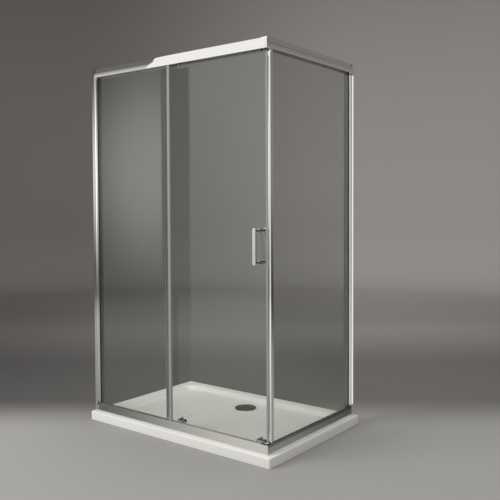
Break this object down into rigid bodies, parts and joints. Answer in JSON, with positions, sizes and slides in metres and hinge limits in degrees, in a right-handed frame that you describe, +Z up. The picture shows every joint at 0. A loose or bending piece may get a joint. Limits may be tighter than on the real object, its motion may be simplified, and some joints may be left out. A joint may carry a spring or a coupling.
{
  "type": "shower enclosure with sliding door",
  "caption": "Corner shower enclosure: framed glass front with a sliding door, side screen and low tray with waste.",
  "frame": {"origin": "centre of the tray's footprint, on the floor", "axes": "+Z up; -Y is the door side, the left wall is at -X and the back wall at +Y; the door opens towards -X"},
  "size_m": [1.2, 0.8, 1.895],
  "materials": {
    "tray": "white gloss gel coat over cast stone resin",
    "rail": "bright polished, chrome look",
    "chrome": "polished chrome plate on cast zinc",
    "glass": "clear toughened, polished edges",
    "seal": "translucent flexible plastic",
    "gasket": "matte black wedge gasket",
    "magnet": "grey magnetic rubber",
    "roller": "satin dark acetal",
    "housing": "satin dark moulding",
    "steel": "stainless steel",
    "block": "moulded plastic",
    "rubber": "matte black rubber"
  },
  "bodies": {
    "enclosure": {"tray": "tray", "waste_washer": "rubber", "waste_flange": "chrome", "left_wall_channel": "rail", "back_wall_channel": "rail", "left_jamb": "rail", "back_jamb": "rail", "front_head_rail": "rail", "side_head_rail": "rail", "front_sill": "rail", "side_sill": "rail", "top_corner_cap": "chrome", "bottom_corner_cap": "chrome", "rail_end_blocks": "block", "corner_post": "rail", "post_magnet_strip": "magnet", "fixed_glass": "glass", "side_glass": "glass", "fixed_glass_stile": "seal", "setting_blocks": "block", "glass_gaskets": "gasket", "groove_infills": "seal", "jamb_screws": "steel", "jamb_screw_caps": "chrome", "open_door_buffer": "rubber"},
    "door": {"door_glass": "glass", "trailing_seal": "seal", "magnetic_seal": "seal", "outer_handle": "chrome", "inner_handle": "chrome", "handle_bolts": "steel", "handle_washers": "seal", "hanger_left": "steel", "hanger_right": "steel", "hanger_cap_nuts": "chrome", "hanger_bushes": "block", "top_axles": "steel", "roller_housing_left": "housing", "roller_housing_right": "housing", "roller_clamp_plates": "chrome", "roller_clamp_screws": "steel", "release_spring_left": "steel", "release_spring_right": "steel"},
    "top_wheel_1": {"top_wheel_1": "roller", "top_bearing_1": "steel"},
    "top_wheel_2": {"top_wheel_2": "roller", "top_bearing_2": "steel"},
    "top_wheel_3": {"top_wheel_3": "roller", "top_bearing_3": "steel"},
    "top_wheel_4": {"top_wheel_4": "roller", "top_bearing_4": "steel"},
    "roller_carriage_left": {"roller_carriage_left": "steel"},
    "roller_carriage_right": {"roller_carriage_right": "steel"},
    "bottom_wheel_1": {"bottom_wheel_1": "roller"},
    "bottom_wheel_2": {"bottom_wheel_2": "roller"},
    "bottom_wheel_3": {"bottom_wheel_3": "roller"},
    "bottom_wheel_4": {"bottom_wheel_4": "roller"},
    "drain_cover": {"drain_cover": "chrome"}
  },
  "joints": [
    {"name": "door_slide", "type": "slide", "parent": "enclosure", "child": "door", "axis": [1, 0, 0], "range_m": [-0.457, 0]},
    {"name": "top_wheel_1_spin", "type": "hinge", "parent": "door", "child": "top_wheel_1", "pos_m": [-0.006, -0.3282, 1.87288], "axis": [0, 1, 0], "continuous": true},
    {"name": "top_wheel_2_spin", "type": "hinge", "parent": "door", "child": "top_wheel_2", "pos_m": [0.032, -0.3282, 1.87288], "axis": [0, 1, 0], "continuous": true},
    {"name": "top_wheel_3_spin", "type": "hinge", "parent": "door", "child": "top_wheel_3", "pos_m": [0.486, -0.3282, 1.87288], "axis": [0, 1, 0], "continuous": true},
    {"name": "top_wheel_4_spin", "type": "hinge", "parent": "door", "child": "top_wheel_4", "pos_m": [0.524, -0.3282, 1.87288], "axis": [0, 1, 0], "continuous": true},
    {"name": "left_release", "type": "slide", "parent": "door", "child": "roller_carriage_left", "axis": [0, 0, 1], "range_m": [0, 0.006], "stiffness_N_per_m": 400, "springref_m": -0.01, "deforming": ["release_spring_left"]},
    {"name": "right_release", "type": "slide", "parent": "door", "child": "roller_carriage_right", "axis": [0, 0, 1], "range_m": [0, 0.006], "stiffness_N_per_m": 400, "springref_m": -0.01, "deforming": ["release_spring_right"]},
    {"name": "bottom_wheel_1_spin", "type": "hinge", "parent": "roller_carriage_left", "child": "bottom_wheel_1", "pos_m": [-0.0015, -0.3282, 0.06708], "axis": [0, 1, 0], "continuous": true},
    {"name": "bottom_wheel_2_spin", "type": "hinge", "parent": "roller_carriage_left", "child": "bottom_wheel_2", "pos_m": [0.0275, -0.3282, 0.06708], "axis": [0, 1, 0], "continuous": true},
    {"name": "bottom_wheel_3_spin", "type": "hinge", "parent": "roller_carriage_right", "child": "bottom_wheel_3", "pos_m": [0.4905, -0.3282, 0.06708], "axis": [0, 1, 0], "continuous": true},
    {"name": "bottom_wheel_4_spin", "type": "hinge", "parent": "roller_carriage_right", "child": "bottom_wheel_4", "pos_m": [0.5195, -0.3282, 0.06708], "axis": [0, 1, 0], "continuous": true},
    {"name": "drain_cover_lift", "type": "slide", "parent": "enclosure", "child": "drain_cover", "axis": [0, 0, 1], "range_m": [0, 0.06]}
  ],
  "couplings": [
    {"joint": "top_wheel_1_spin", "follows": "door_slide", "rad_per_m": 105.26},
    {"joint": "top_wheel_2_spin", "follows": "door_slide", "rad_per_m": 105.26},
    {"joint": "top_wheel_3_spin", "follows": "door_slide", "rad_per_m": 105.26},
    {"joint": "top_wheel_4_spin", "follows": "door_slide", "rad_per_m": 105.26},
    {"joint": "bottom_wheel_1_spin", "follows": "door_slide", "rad_per_m": 125},
    {"joint": "bottom_wheel_2_spin", "follows": "door_slide", "rad_per_m": 125},
    {"joint": "bottom_wheel_3_spin", "follows": "door_slide", "rad_per_m": 125},
    {"joint": "bottom_wheel_4_spin", "follows": "door_slide", "rad_per_m": 125}
  ]
}
